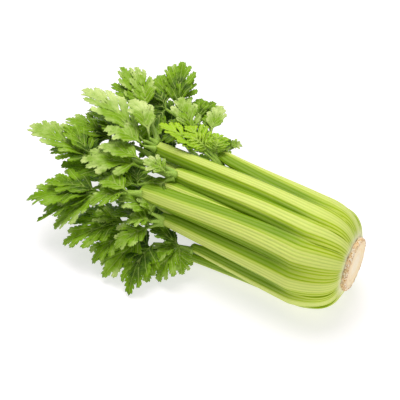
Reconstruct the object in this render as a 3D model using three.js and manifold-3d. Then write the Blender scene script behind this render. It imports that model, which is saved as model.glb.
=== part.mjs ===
// Head of celery lying on its side: a trimmed root base, ribbed stalks packed in three
// rings around it, and the lobed leaves on thin leaf stems at the far end of the stalks.
// Millimetres. +X runs along the bunch toward the trimmed base, +Z is up.
// Places are written as [along, across, height]: distance from the cut face toward the
// leaves, sideways distance from the middle of the bunch, height above the table.
import * as THREE from "three";
import Module from "manifold-3d";

const wasm = await Module();
wasm.setup();

// ---- driving dimensions -------------------------------------------------------------
const AXIS_HEIGHT = 52;        // middle line of the bunch above the table
const BUNCH_RADIUS = 55;       // outside of the bunch at its thickest
const THICKEST_AT = 42;        // distance of the thickest place from the cut face
const CUT_RADIUS = 26;         // trimmed root face
const CUT_ACROSS = 7;          // the cut face sits a little to one side of the bunch
const CUT_YAW = 8;             // degrees the cut face looks sideways
const COLLAR = 5;              // short bare collar between the cut face and the stalks
const BULB_FROM = 5;           // where the stalks start to swell out from the root base
const CUT_EDGE = 1.2;          // worn edge round the cut face
const COLLAR_DRAFT = 0.3;      // the collar narrows this much toward the stalks
// the blunt dome behind the collar, as [radius, distance from the cut face]
const DOME = [[19, 8], [15, 14], [9, 20], [3, 24], [0, 25]];
const ROOT_SIDES = 28;
const FLAT_SIDE = 45;          // ring angle at which the bulb swells most slowly
const SLOPE_POWER = 1.7;       // it slopes gently there
const ROUND_POWER = 2.4;       // and is full and round across from it
const FAR_SLIM = 0.08;         // the +Y side of the bunch is this much slimmer
const FOOT_INSET = 0.5;        // outer stalks start this far inside the edge of the cut face
const FOOT_NARROW = 0.12;      // width a stalk keeps toward its foot, as a share
const FOOT_THIN = 0.8;         // its thickness there, and the distance over which it grows
const THICKENS_OVER = 40;
const TAPER_POWER = 0.8;       // a stalk loses most of its width soon after the bulb
const END_SLOPE = 1.3;         // how straight it runs into its far end
const INNER_WIDTH = 0.9;       // its hollow side is narrower than its outer side
const YAW_OVER = 30;           // here the stalks stop following the slant of the cut face
const INNER_FOOT = 0.42;       // share of their ring radius at which inner stalks start
const NEARER_STEPS = 1.7;      // how closely the sections of a stalk crowd at its base
// places across a stalk from one margin (-1) to the other (1): a flat crown and two sides
const SECTION = [-1, -0.68, -0.34, 0.34, 0.68, 1];
const SHOULDER = 0.34;         // where the crown turns down into the sides
const CREASE = 1.3;            // how sharply it turns: 1 is a fold, 2 is a round bend
const MARGIN_ROLL = 8 / 35;    // how far a margin turns in, as a share of the stalk's width
const ROLL_FROM = 8;           // the margins are flat here and turn in over this distance
const ROLL_OVER = 62;
const LEAST_ROLL = 0.12;       // share of the turn-in left where they are flat
const ROUNDER_FROM = 60;       // from here to its far end a stalk grows rounder in section
const END_ROUNDNESS = 12;      // radius of the section at the far end
const ROUNDEST = 0.9;          // and how nearly it is reached, as a share
const LEAST_LEAN = 0.15;       // how flat a stalk lies where it turns in toward the root
const LEAST_WALL = 1.5;        // wall left where a stalk is pressed flat on the table
const MARGIN_THICK = 0.32;     // thickness of a margin, as a share of the stalk's thickness
const STALK_STEPS = 9;
const MIDDLE_FROM = 10;        // where the middle stalks leave the root base
const HEART_FROM = 20;         // where the heart stalks leave it
const CLEARANCE = 0.4;         // gap between pieces that touch
const BLADE_THICK = 1.1;
const BLADE_FOLD = 0.1;        // how far the sides of a blade rise, as a share of its width
const BLADE_HEEL = 1.5;        // how far a blade reaches back into its stem
const STEM_SIDES = 5;
const STEM_THIN = 1.6;         // radius of a leaf stem at its fork
const STEM_THIN_YOUNG = 1.2;
const STEM_SWELL = 1.2;        // how much thicker a leaf stem is at its foot
const SMOOTHING = 0.05;        // largest step that may be flattened out of a finished piece

// ---- colours ------------------------------------------------------------------------
const STALK_GREEN = 0x9cc23c;
const HEART_GREEN = 0xbfd65a;
const LEAF_GREEN = 0x4f9a26;
const YOUNG_GREEN = 0x8cc637;
const ROOT_CREAM = 0xe6d3a6;

// ---- stalks -------------------------------------------------------------------------
// ring angle in degrees is 0 at the top and grows toward +Y
function stalk(name, ringAngle, ringRadius, width, end, endWidth, endAngle, thick) {
  return { name, ringAngle, ringRadius, width, end, endWidth, endAngle, thick };
}
const OUTER = [
  stalk("stalk_e", -52, BUNCH_RADIUS, 33, [207, -52, 78], 21, -58, 9),
  stalk("stalk_a", 27, BUNCH_RADIUS, 35, [170, 35, 88], 19, 38, 9),
  stalk("stalk_b", -2, BUNCH_RADIUS, 27, [232, 4, 90], 17, -5, 9),
  stalk("stalk_c", -22, BUNCH_RADIUS, 25, [189, -20, 91], 17, -27, 9),
  stalk("stalk_f", -84, BUNCH_RADIUS, 30, [183, -54, 56], 16, -84, 8),
  stalk("stalk_g", -114, BUNCH_RADIUS, 31, [151, -47, 28], 15, -115, 8),
  stalk("stalk_h", -147, BUNCH_RADIUS, 32, [172, -47, 10], 15, -142, 8),
  stalk("stalk_i", 178, BUNCH_RADIUS, 33, [196, 4, 3], 14, 180, 8),
  stalk("stalk_j", 143, BUNCH_RADIUS, 33, [176, 32, 10], 14, 145, 8),
  stalk("stalk_k", 107, BUNCH_RADIUS, 34, [168, 52, 34], 14, 105, 9),
  stalk("stalk_l", 66, BUNCH_RADIUS, 36, [184, 51, 70], 15, 70, 9),
];
const MIDDLE = [
  stalk("stalk_d", -42, 46, 27, [204, -34, 80], 16, -45, 7),
  stalk("stalk_m", 5, 40, 26, [222, -6, 77], 12, 0, 7),
  stalk("stalk_n", 66, 40, 27, [205, 33, 62], 12, 66, 7),
  stalk("stalk_o", 122, 40, 27, [203, 29, 29], 12, 122, 7),
  stalk("stalk_p", 178, 40, 27, [215, 0, 18], 12, 180, 7),
  stalk("stalk_t", -118, 40, 27, [214, -27, 41], 12, -105, 7),
];
const HEART = [
  stalk("stalk_q", 16, 27, 16, [165, 19, 80], 9, 20, 5),
  stalk("stalk_r", -70, 27, 20, [230, -13, 54], 10, -60, 5),
  stalk("stalk_s", 150, 26, 22, [224, 9, 38], 10, 150, 5),
];

// ---- leaves -------------------------------------------------------------------------
// blade: tip place, width, how far its middle arches up
function blade(along, across, height, width, arch) {
  return { tip: [along, across, height], width, arch };
}
function sprig(name, foot, fork, blades, young = false) {
  return { name, foot, fork, blades, young };
}
const SPRIGS = [
  sprig("leaf_b1", [226, 3, 88], [238, -3, 93], [
    blade(339, 27, 95, 34, 6), blade(332, 24, 74, 28, 3)]),
  sprig("leaf_b2", [225, -1, 87], [233, -8, 92], [
    blade(275, -18, 99, 30, 5), blade(303, 6, 86, 26, 3)]),
  sprig("leaf_b3", [227, 4, 90], [233, 1, 96], [blade(274, 25, 110, 24, 8)]),
  sprig("leaf_b4", [227, 8, 86], [261, 33, 95], [
    blade(321, 69, 105, 24, 4), blade(305, 74, 107, 22, 5), blade(283, 64, 104, 22, 5),
    blade(318, 48, 96, 24, 3)]),
  sprig("leaf_m1", [218, -9, 76], [279, -35, 72], [
    blade(364, -31, 73, 33, 4), blade(330, -17, 80, 24, 4), blade(314, -13, 72, 26, 3),
    blade(328, -43, 66, 24, 3)]),
  sprig("leaf_m2", [219, -3, 76], [280, -1, 72], [
    blade(340, -2, 72, 26, 4), blade(314, 16, 70, 28, 3), blade(310, -3, 62, 28, 3)]),
  sprig("leaf_c1", [185, -19, 88], [222, -24, 89], [blade(269, -35, 93, 22, 4)]),
  sprig("leaf_c2", [185, -22, 85], [222, -28, 84], [blade(279, -52, 82, 34, 4)]),
  sprig("leaf_c3", [185, -22, 90], [191, -28, 94], [
    blade(217, -31, 98, 20, 3), blade(214, -30, 84, 20, 3)]),
  sprig("leaf_c4", [185, -24, 87], [191, -30, 84], [blade(195, -42, 74, 20, 3)]),
  sprig("leaf_e1", [203, -50, 75], [250, -59, 60], [
    blade(318, -94, 42, 38, 4), blade(311, -72, 52, 28, 4), blade(276, -103, 31, 32, 4),
    blade(296, -105, 31, 26, 3)]),
  sprig("leaf_e2", [203, -52, 79], [214, -59, 78], [
    blade(244, -82, 66, 28, 4), blade(250, -58, 76, 24, 4)]),
  sprig("leaf_d1", [199, -33, 78], [219, -38, 70], [
    blade(259, -51, 66, 22, 4), blade(257, -8, 63, 24, 3), blade(236, -14, 64, 22, 3),
    blade(267, -52, 50, 28, 3)]),
  sprig("leaf_f1", [178, -52, 58], [189, -56, 63], [
    blade(227, -58, 68, 24, 4), blade(211, -46, 72, 18, 4), blade(201, -45, 74, 14, 3)]),
  sprig("leaf_f2", [179, -53, 56], [187, -60, 56], [
    blade(206, -74, 55, 26, 4), blade(243, -58, 40, 28, 3)]),
  sprig("leaf_f3", [178, -52, 53], [189, -61, 48], [
    blade(206, -94, 37, 32, 5), blade(203, -52, 50, 16, 3)]),
  sprig("leaf_f4", [179, -49, 52], [216, -66, 44], [
    blade(261, -109, 24, 32, 4), blade(250, -79, 40, 20, 4), blade(268, -88, 33, 28, 3),
    blade(264, -67, 36, 26, 3)]),
  sprig("leaf_t1", [209, -28, 42], [209, -62, 33], [blade(226, -106, 14, 32, 4)]),
  sprig("leaf_t2", [209, -30, 40], [197, -58, 31], [blade(211, -110, 7, 34, 5)]),
  sprig("leaf_g1", [147, -47, 27], [185, -60, 27], [
    blade(178, -111, 3, 32, 8), blade(172, -90, 6, 22, 6)]),
  sprig("leaf_g2", [147, -48, 30], [160, -51, 31], [
    blade(178, -76, 17, 22, 4), blade(164, -82, 5, 28, 6), blade(148, -64, 9, 24, 4),
    blade(196, -56, 42, 18, 3)]),
  sprig("leaf_l1", [180, 48, 70], [252, 54, 88], [
    blade(284, 87, 98, 20, 4), blade(289, 74, 97, 20, 4), blade(288, 62, 84, 26, 3),
    blade(258, 12, 70, 28, 3)]),
  sprig("leaf_l2", [180, 51, 73], [244, 60, 88], [
    blade(273, 114, 104, 28, 4), blade(282, 100, 102, 22, 4), blade(252, 102, 96, 22, 4)]),
  sprig("leaf_a1", [166, 33, 87], [206, 38, 88], [
    blade(244, 67, 100, 26, 4), blade(240, 46, 84, 24, 3), blade(241, 28, 70, 26, 3)]),
  sprig("leaf_l3", [180, 54, 70], [219, 66, 76], [
    blade(221, 98, 82, 22, 4), blade(235, 90, 86, 18, 4)]),
  sprig("leaf_a2", [166, 38, 87], [192, 47, 88], [
    blade(206, 87, 92, 17, 3), blade(212, 80, 84, 16, 3)]),
  sprig("leaf_a3", [166, 36, 89], [164, 40, 91], [blade(155, 49, 90, 14, 2)]),
  sprig("leaf_k1", [164, 53, 36], [184, 64, 56], [blade(188, 76, 64, 20, 3)]),
  sprig("leaf_k2", [164, 53, 32], [195, 70, 28], [
    blade(240, 100, 14, 30, 4), blade(225, 110, 24, 22, 4)]),
  sprig("leaf_n1", [200, 34, 62], [235, 50, 60], [
    blade(288, 88, 62, 30, 4), blade(268, 98, 46, 26, 4), blade(284, 66, 70, 28, 4),
    blade(268, 28, 60, 26, 3), blade(250, 4, 60, 30, 3)]),
  sprig("leaf_j1", [172, 32, 10], [205, 44, 9], [
    blade(264, 72, 4, 32, 4), blade(243, 92, 6, 26, 4)]),
  sprig("leaf_i1", [192, 4, 5], [225, 4, 7], [
    blade(204, -32, 24, 32, 3), blade(288, -16, 3, 30, 4), blade(290, 26, 4, 30, 4)]),
  sprig("leaf_h1", [168, -47, 9], [196, -52, 8], [
    blade(228, -58, 12, 32, 3), blade(178, -68, 5, 26, 3), blade(262, -72, 5, 30, 4),
    blade(234, -92, 3, 24, 4)]),
  sprig("leaf_p1", [210, 0, 19], [245, 2, 24], [
    blade(318, 20, 24, 34, 4), blade(322, -32, 30, 34, 4)]),
  sprig("leaf_r1", [224, -13, 54], [262, -20, 51], [
    blade(312, -46, 54, 34, 4), blade(318, -12, 44, 30, 4), blade(281, 25, 70, 26, 3),
    blade(276, -8, 66, 26, 3)]),
  sprig("leaf_q1", [161, 19, 80], [178, 17, 93], [
    blade(234, 18, 102, 28, 3), blade(212, 9, 99, 20, 3)], true),
  sprig("leaf_q2", [161, 21, 81], [178, 21, 94], [
    blade(210, 34, 100, 26, 3), blade(198, 20, 103, 20, 3)], true),
  sprig("leaf_q3", [161, 22, 80], [171, 24, 91], [
    blade(184, 45, 95, 24, 3), blade(174, 34, 101, 18, 3)], true),
];

// ---- small helpers ------------------------------------------------------------------
const UP = new THREE.Vector3(0, 0, 1);
const place = ([along, across, height]) => new THREE.Vector3(-along, across, height);
const mix = (a, b, t) => a + (b - a) * t;
function ease(t) {
  const k = Math.min(Math.max(t, 0), 1);
  return k * k * (3 - 2 * k);
}
// Hermite curve between two heights with given slopes over a given run
function hermite(from, to, slopeFrom, slopeTo, run, t) {
  const t2 = t * t;
  const t3 = t2 * t;
  const start = (2 * t3 - 3 * t2 + 1) * from + (t3 - 2 * t2 + t) * run * slopeFrom;
  return start + (-2 * t3 + 3 * t2) * to + (t3 - t2) * run * slopeTo;
}

// a closed body from equal rings of points; cap triangles pair the two halves of a ring
function ringSolid(rings) {
  const count = rings[0].length;
  const points = rings.flat();
  const tris = [];
  for (let r = 0; r + 1 < rings.length; r += 1) {
    for (let i = 0; i < count; i += 1) {
      const a = r * count + i;
      const b = r * count + ((i + 1) % count);
      tris.push(a, b, b + count, a, b + count, a + count);
    }
  }
  const last = (rings.length - 1) * count;
  for (let i = 0; i + 1 < count - 1 - i; i += 1) {
    const j = count - 1 - i;
    tris.push(i, j, i + 1, last + i, last + i + 1, last + j);
    if (i + 1 < j - 1) {
      tris.push(i + 1, j, j - 1, last + i + 1, last + j - 1, last + j);
    }
  }
  return solid(points, tris);
}

function solid(points, tris) {
  const vertProperties = new Float32Array(points.flatMap((p) => [p.x, p.y, p.z]));
  const make = (list) => new wasm.Manifold(new wasm.Mesh({
    numProp: 3, vertProperties, triVerts: new Uint32Array(list) }));
  const body = make(tris);
  if (body.volume() > 0) {
    return body;
  }
  const flipped = [];
  for (let i = 0; i < tris.length; i += 3) {
    flipped.push(tris[i], tris[i + 2], tris[i + 1]);
  }
  return make(flipped);
}

function largest(body) {
  const parts = body.decompose();
  return parts.reduce((best, next) => (next.volume() > best.volume() ? next : best));
}

// ---- the stalks ---------------------------------------------------------------------
// where the outside of a stalk runs at a distance from the cut face
function stalkLine(spec, along) {
  const angle = THREE.MathUtils.degToRad(spec.ringAngle);
  const nearBase = ease((along - COLLAR) / (THICKEST_AT - COLLAR));
  const across = CUT_ACROSS * (1 - nearBase);
  const height = AXIS_HEIGHT;
  const outermost = spec.ringRadius === BUNCH_RADIUS;
  const inner = outermost ? CUT_RADIUS - FOOT_INSET : spec.ringRadius * INNER_FOOT;
  const q = Math.min(Math.max((along - BULB_FROM) / (THICKEST_AT - BULB_FROM), 0), 1);
  const fullness = (1 - Math.cos(angle - THREE.MathUtils.degToRad(FLAT_SIDE))) / 2;
  const sloping = (1 - (1 - q) ** SLOPE_POWER) ** (1 / SLOPE_POWER);
  const rounded = (1 - (1 - q) ** ROUND_POWER) ** (1 / ROUND_POWER);
  const swollen = mix(sloping, rounded, fullness);
  const full = spec.ringRadius * (1 - FAR_SLIM * Math.max(Math.sin(angle), 0));
  const radius = mix(inner, full, swollen);
  const y = across + radius * Math.sin(angle);
  const z = height + radius * Math.cos(angle);
  if (along <= THICKEST_AT) {
    return { y, z, radius };
  }
  const run = spec.end[0] - THICKEST_AT;
  const t = (along - THICKEST_AT) / run;
  const slopeY = (spec.end[1] - y) / run;
  const slopeZ = (spec.end[2] - z) / run;
  return {
    y: hermite(y, spec.end[1], 0, slopeY * END_SLOPE, run, t),
    z: hermite(z, spec.end[2], 0, slopeZ * END_SLOPE, run, t),
    radius,
  };
}

function stalkSolid(spec, first, grow) {
  const rings = [];
  const span = spec.end[0] - first;
  for (let step = 0; step < STALK_STEPS; step += 1) {
    const t = step / (STALK_STEPS - 1);
    const along = first + span * t ** NEARER_STEPS;
    const here = stalkLine(spec, along);
    const before = stalkLine(spec, along - 1);
    const after = stalkLine(spec, along + 1);
    const tangent = new THREE.Vector3(-2, after.y - before.y, after.z - before.z);
    tangent.normalize();
    const far = ease((along - THICKEST_AT) / (spec.end[0] - THICKEST_AT));
    const angle = THREE.MathUtils.degToRad(mix(spec.ringAngle, spec.endAngle, far));
    const radial = new THREE.Vector3(0, Math.sin(angle), Math.cos(angle));
    const out = radial.clone().addScaledVector(tangent, -radial.dot(tangent)).normalize();
    const side = new THREE.Vector3().crossVectors(tangent, out);
    const follow = 1 - ease((along - COLLAR) / YAW_OVER);
    const lean = Math.max(out.dot(radial), LEAST_LEAN);
    const rounding = ease((along - ROUNDER_FROM) / (spec.end[0] - ROUNDER_FROM)) * ROUNDEST;
    const bend = mix(lean / here.radius, 1 / END_ROUNDNESS, rounding);
    const swell = along < THICKEST_AT ? mix(FOOT_NARROW, 1, here.radius / spec.ringRadius) : 1;
    const taper = ((along - THICKEST_AT) / (spec.end[0] - THICKEST_AT));
    const wide = mix(spec.width * swell, spec.endWidth, Math.max(taper, 0) ** TAPER_POWER);
    const thick = spec.thick * mix(FOOT_THIN, 1, ease((along - first) / THICKENS_OVER));
    const rolled = mix(LEAST_ROLL, 1, ease((along - ROLL_FROM) / ROLL_OVER));
    const roll = MARGIN_ROLL * wide * rolled;
    const middle = new THREE.Vector3(-along, here.y, here.z);
    const at = (sideways, depth) => middle.clone()
      .addScaledVector(side, sideways).addScaledVector(out, -depth);
    const crown = (f) => {
      const turn = f * wide / 2 * bend;
      const shoulder = Math.max(Math.abs(f) - SHOULDER, 0) / (1 - SHOULDER);
      const drop = (1 - Math.cos(turn)) / bend + roll * shoulder ** CREASE;
      return { sideways: Math.sin(turn) / bend, drop };
    };
    const margin = crown(1);
    const outer = [];
    const inner = [];
    for (const f of SECTION) {
      const { sideways, drop } = crown(f);
      const skin = at(sideways + f * grow, drop - grow);
      const hollow = (margin.drop + MARGIN_THICK * thick - thick) * f * f;
      const under = at(INNER_WIDTH * margin.sideways * f + f * grow, thick + hollow + grow);
      for (const point of [skin, under]) {
        point.x -= (point.y - CUT_ACROSS) * Math.sin(THREE.MathUtils.degToRad(CUT_YAW)) * follow;
      }
      skin.z = Math.max(skin.z, 0);
      under.z = Math.max(under.z, LEAST_WALL);
      outer.push(skin);
      inner.push(under);
    }
    rings.push([...outer, ...inner.reverse()]);
  }
  if (grow > 0) {
    rings[0].forEach((p) => { p.x += grow; });
    rings[rings.length - 1].forEach((p) => { p.x -= grow; });
  }
  return ringSolid(rings);
}

// ---- the trimmed root base ----------------------------------------------------------
// a short collar behind the cut face and a blunt dome inside the stalks
function rootSolid(grow) {
  const profile = [
    [0, 0], [CUT_RADIUS - CUT_EDGE, 0], [CUT_RADIUS, CUT_EDGE],
    [CUT_RADIUS - COLLAR_DRAFT, COLLAR - CLEARANCE], ...DOME,
  ];
  const points = profile.map(([r, x]) => {
    const reach = x > 0 ? x + grow : x - grow;
    return new THREE.Vector2(r > 0 ? r + grow : 0, reach);
  });
  const lathe = new THREE.LatheGeometry(points, ROOT_SIDES);
  lathe.rotateZ(Math.PI / 2);
  const turn = new THREE.Matrix4().makeRotationZ(THREE.MathUtils.degToRad(CUT_YAW));
  lathe.applyMatrix4(turn);
  lathe.translate(0, CUT_ACROSS, AXIS_HEIGHT);
  return weld(lathe);
}

// closed body from a geometry whose seam points are repeated
function weld(geometry) {
  const at = geometry.getAttribute("position");
  const seen = new Map();
  const points = [];
  const remap = [];
  for (let i = 0; i < at.count; i += 1) {
    const p = new THREE.Vector3().fromBufferAttribute(at, i);
    const key = [p.x, p.y, p.z].map((v) => Math.round(v * 1000)).join("_");
    if (!seen.has(key)) {
      seen.set(key, points.length);
      points.push(p);
    }
    remap.push(seen.get(key));
  }
  const order = geometry.getIndex();
  const tris = [];
  for (let i = 0; i < order.count; i += 3) {
    const t = [0, 1, 2].map((k) => remap[order.getX(i + k)]);
    if (t[0] !== t[1] && t[1] !== t[2] && t[2] !== t[0]) {
      tris.push(...t);
    }
  }
  return solid(points, tris);
}

// ---- the leaves ---------------------------------------------------------------------
// one side of a lobed blade: place on the midrib, place of the edge point, its reach
const LOBES = [
  [0.00, 0.01, 0.07], [0.10, 0.13, 0.28], [0.24, 0.42, 1.00], [0.36, 0.46, 0.46],
  [0.48, 0.68, 0.88], [0.62, 0.72, 0.38], [0.75, 0.87, 0.50], [0.88, 0.91, 0.20],
  [1.00, 1.00, 0.03],
];

function bladeSolid(base, spec, grow) {
  const tip = place(spec.tip);
  const length = tip.clone().sub(base);
  const ahead = length.clone().normalize();
  const face = UP.clone().addScaledVector(ahead, -UP.dot(ahead)).normalize();
  const side = new THREE.Vector3().crossVectors(ahead, face);
  const half = spec.width / 2 + grow;
  const fold = spec.width * BLADE_FOLD;
  const rise = BLADE_THICK / 2 + grow;
  const at = (u, reach) => {
    const p = base.clone().addScaledVector(length, u);
    p.addScaledVector(face, 4 * spec.arch * u * (1 - u) + Math.abs(reach) * fold);
    return p.addScaledVector(side, reach * half);
  };
  const rings = LOBES.map(([mid, edge, reach]) => {
    const line = [at(edge, -reach), at(mid, 0), at(edge, reach)];
    const top = line.map((p) => p.clone().addScaledVector(face, rise));
    const under = line.map((p) => p.clone().addScaledVector(face, -rise));
    return [...top, ...under.reverse()];
  });
  rings[0].forEach((p) => { p.addScaledVector(ahead, -BLADE_HEEL - grow); });
  rings[rings.length - 1].forEach((p) => { p.addScaledVector(ahead, grow); });
  return ringSolid(rings);
}

function stemSolid(foot, fork, from, to, grow) {
  const ahead = fork.clone().sub(foot);
  const length = ahead.length();
  ahead.normalize();
  const side = new THREE.Vector3().crossVectors(ahead, UP).normalize();
  const rise = new THREE.Vector3().crossVectors(side, ahead);
  const rings = [0, 0.5, 1].map((t) => {
    const radius = mix(from, to, t) + grow;
    const middle = foot.clone().addScaledVector(ahead, t * (length + 2));
    middle.addScaledVector(rise, Math.sin(t * Math.PI) * length * 0.04);
    const ring = [];
    for (let i = 0; i < STEM_SIDES; i += 1) {
      const a = (i / STEM_SIDES) * Math.PI * 2;
      const p = middle.clone().addScaledVector(side, Math.cos(a) * radius);
      ring.push(p.addScaledVector(rise, Math.sin(a) * radius));
    }
    return ring;
  });
  return ringSolid(rings);
}

function sprigSolid(spec, grow) {
  const foot = place(spec.foot);
  const fork = place(spec.fork);
  const thin = spec.young ? STEM_THIN_YOUNG : STEM_THIN;
  let body = stemSolid(foot, fork, thin + STEM_SWELL, thin, grow);
  for (const each of spec.blades) {
    body = body.add(bladeSolid(fork, each, grow));
  }
  return body;
}

// ---- build in order: each piece gives way to the ones before it ----------------------
const pieces = [];
function keep(name, body, grown, colour, roughness) {
  let shape = body;
  const box = body.boundingBox();
  for (const other of pieces) {
    const apart = [0, 1, 2].some((k) => (
      other.box.min[k] > box.max[k] || other.box.max[k] < box.min[k]));
    if (!apart) {
      shape = shape.subtract(other.grown);
    }
  }
  shape = largest(shape.simplify(SMOOTHING));
  pieces.push({ name, shape, grown, box: grown.boundingBox(), colour, roughness });
}

keep("root_base", rootSolid(0), rootSolid(CLEARANCE), ROOT_CREAM, 0.8);
for (const spec of OUTER) {
  keep(spec.name, stalkSolid(spec, COLLAR, 0), stalkSolid(spec, COLLAR, CLEARANCE),
    STALK_GREEN, 0.45);
}
for (const spec of MIDDLE) {
  keep(spec.name, stalkSolid(spec, MIDDLE_FROM, 0), stalkSolid(spec, MIDDLE_FROM, CLEARANCE),
    STALK_GREEN, 0.45);
}
for (const spec of HEART) {
  keep(spec.name, stalkSolid(spec, HEART_FROM, 0), stalkSolid(spec, HEART_FROM, CLEARANCE),
    HEART_GREEN, 0.45);
}
for (const spec of SPRIGS) {
  keep(spec.name, sprigSolid(spec, 0), sprigSolid(spec, CLEARANCE),
    spec.young ? YOUNG_GREEN : LEAF_GREEN, 0.6);
}

// ---- meshes, with the frame origin under the middle of the whole bunch ----------------
const head = new THREE.Group();
head.name = "head_of_celery";
const bounds = new THREE.Box3();
for (const piece of pieces) {
  const { numProp, vertProperties, triVerts } = piece.shape.getMesh();
  const flat = new Float32Array(triVerts.length * 3);
  triVerts.forEach((v, i) => {
    for (let k = 0; k < 3; k += 1) {
      flat[i * 3 + k] = vertProperties[v * numProp + k];
    }
  });
  const geometry = new THREE.BufferGeometry();
  geometry.setAttribute("position", new THREE.BufferAttribute(flat, 3));
  geometry.computeVertexNormals();
  const material = new THREE.MeshStandardMaterial({
    color: piece.colour, roughness: piece.roughness, metalness: 0 });
  const mesh = new THREE.Mesh(geometry, material);
  mesh.name = piece.name;
  head.add(mesh);
  bounds.expandByObject(mesh);
}
const centre = bounds.getCenter(new THREE.Vector3());
for (const mesh of head.children) {
  mesh.geometry.translate(-centre.x, -centre.y, -bounds.min.z);
}

export default head;
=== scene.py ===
"""Head of celery lying on its side: ribbed stalks round a trimmed root base, and leaves."""
import random
from math import cos, pi, radians, sin, sqrt

import bpy
import numpy as np
from bpy.props import FloatProperty, FloatVectorProperty, IntProperty, PointerProperty
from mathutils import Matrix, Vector, noise
from mathutils.geometry import delaunay_2d_cdt
from numpy.linalg import norm


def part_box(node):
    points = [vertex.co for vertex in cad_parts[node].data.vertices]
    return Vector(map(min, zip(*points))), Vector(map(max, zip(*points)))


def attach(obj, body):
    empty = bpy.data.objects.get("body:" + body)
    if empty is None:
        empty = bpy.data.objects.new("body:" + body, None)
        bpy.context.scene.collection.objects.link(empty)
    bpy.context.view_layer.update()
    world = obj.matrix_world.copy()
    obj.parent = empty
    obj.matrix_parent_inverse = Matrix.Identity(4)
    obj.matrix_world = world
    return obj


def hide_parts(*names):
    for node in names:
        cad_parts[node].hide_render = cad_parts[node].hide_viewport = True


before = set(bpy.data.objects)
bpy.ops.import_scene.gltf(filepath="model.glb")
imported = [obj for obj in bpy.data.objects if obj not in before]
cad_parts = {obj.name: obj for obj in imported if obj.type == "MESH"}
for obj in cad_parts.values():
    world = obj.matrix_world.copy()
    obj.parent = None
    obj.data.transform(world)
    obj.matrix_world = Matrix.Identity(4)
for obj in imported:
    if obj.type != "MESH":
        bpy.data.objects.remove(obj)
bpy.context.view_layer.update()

bl_info = {
    "name": "Head of celery",
    "version": (1, 0, 0),
    "blender": (4, 5, 0),
    "location": "View3D > Sidebar > Celery",
    "description": "Builds the stalks, leaves and root base of a head of celery around its frame",
    "category": "Add Mesh",
}

MM = 0.001

# ---- driving dimensions, in millimetres ----
AXIS_HEIGHT = 52  # middle line of the bunch above the table
BUNCH_RADIUS = 55  # outside of the bunch at its thickest
THICKEST_AT = 42  # distance of the thickest place from the cut face
CUT_RADIUS = 26  # outside of the trimmed root
CUT_FACE_RADIUS = 24.8
CUT_ACROSS = 7  # the cut face sits a little to one side of the bunch
CUT_YAW = radians(8)
COLLAR = 5  # bare collar between the cut face and the stalks
COLLAR_DRIFT = 0.6  # the slanting collar reaches this much further sideways
OUTER_FROM = COLLAR - 0.5
MIDDLE_FROM = 10
HEART_FROM = 20

# Places are [along, across, height]: distance from the cut face toward the leaves, sideways
# distance from the middle of the bunch, and height above the table.
ROOT_LOW, ROOT_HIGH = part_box("root_base")
ORIGIN = np.array([
    ROOT_HIGH[0] / MM - CUT_FACE_RADIUS * sin(CUT_YAW),
    ROOT_LOW[1] / MM - CUT_ACROSS + CUT_RADIUS * cos(CUT_YAW) + COLLAR_DRIFT,
    (ROOT_LOW[2] + ROOT_HIGH[2]) / 2 / MM - AXIS_HEIGHT,
])


def stalk(name, angle, radius, width, end, end_width, end_angle, thick, ribs):
    """One stalk: ring angle in degrees from the top toward +Y, ring radius, width, far end."""
    return dict(name="stalk_" + name, angle=angle, radius=radius, width=width, end=end,
                end_width=end_width, end_angle=end_angle, thick=thick, ribs=ribs)


OUTER = [stalk(name, angle, BUNCH_RADIUS, *rest) for name, angle, *rest in [
    ("e", -52, 33, (207, -52, 78), 21, -58, 9, 10),
    ("a", 27, 35, (170, 35, 88), 19, 38, 9, 10),
    ("b", -2, 27, (232, 4, 90), 17, -5, 9, 8),
    ("c", -22, 25, (189, -20, 91), 17, -27, 9, 7),
    ("f", -84, 30, (183, -54, 56), 16, -84, 8, 9),
    ("g", -114, 31, (151, -47, 28), 15, -115, 8, 9),
    ("h", -147, 32, (172, -47, 10), 15, -142, 8, 10),
    ("i", 178, 33, (196, 4, 3), 14, 180, 8, 9),
    ("j", 143, 33, (176, 32, 10), 14, 145, 8, 9),
    ("k", 107, 34, (168, 52, 34), 14, 105, 9, 10),
    ("l", 66, 36, (184, 51, 70), 15, 70, 9, 10),
]]
MIDDLE = [stalk(*row) for row in [
    ("d", -42, 46, 27, (204, -34, 80), 16, -45, 7, 8),
    ("m", 5, 40, 26, (222, -6, 77), 12, 0, 7, 8),
    ("n", 66, 40, 27, (205, 33, 62), 12, 66, 7, 8),
    ("o", 122, 40, 27, (203, 29, 29), 12, 122, 7, 8),
    ("p", 178, 40, 27, (215, 0, 18), 12, 180, 7, 8),
    ("t", -118, 40, 27, (214, -27, 41), 12, -105, 7, 8),
]]
HEART = [stalk(*row) for row in [
    ("q", 16, 27, 16, (165, 19, 80), 9, 20, 5, 6),
    ("r", -70, 27, 20, (230, -13, 54), 10, -60, 5, 6),
    ("s", 150, 26, 22, (224, 9, 38), 10, 150, 5, 6),
]]

TOOTH_REACH = 1.1  # teeth reach past the stated width of a blade
SHADED = 0.3  # blades this dark lie deep in the bunch and have fuller lobes
YOUNG_STALKS = "q"  # stalks that carry young leaves; a sprig is named after its stalk


def blade(young, along, across, height, width, arch, tone, kind=None):
    """One leaf blade: tip place, width, arch of its middle, how pale it is (partly its own tone,
    partly painted: shade on deep blades, sheen on lit ones) and its form.
    """
    if kind is None:
        plain = "full" if tone <= SHADED else "broad"
        kind = "frond" if young else plain
    return dict(tip=(along, across, height), width=width * TOOTH_REACH, arch=arch, kind=kind,
                tone=tone)


def sprig(name, foot, fork, *blades):
    """A leaf stem from foot to fork, and the blades that spread from the fork."""
    young = name[0] in YOUNG_STALKS
    return dict(name="leaf_" + name, foot=foot, fork=fork, young=young,
                blades=[blade(young, *each) for each in blades])


# A blade's tone runs from dark to pale: its own paleness, with painted shade on the blades deep
# in the bunch or under it and a painted sheen on the upper, lit blades.
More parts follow.
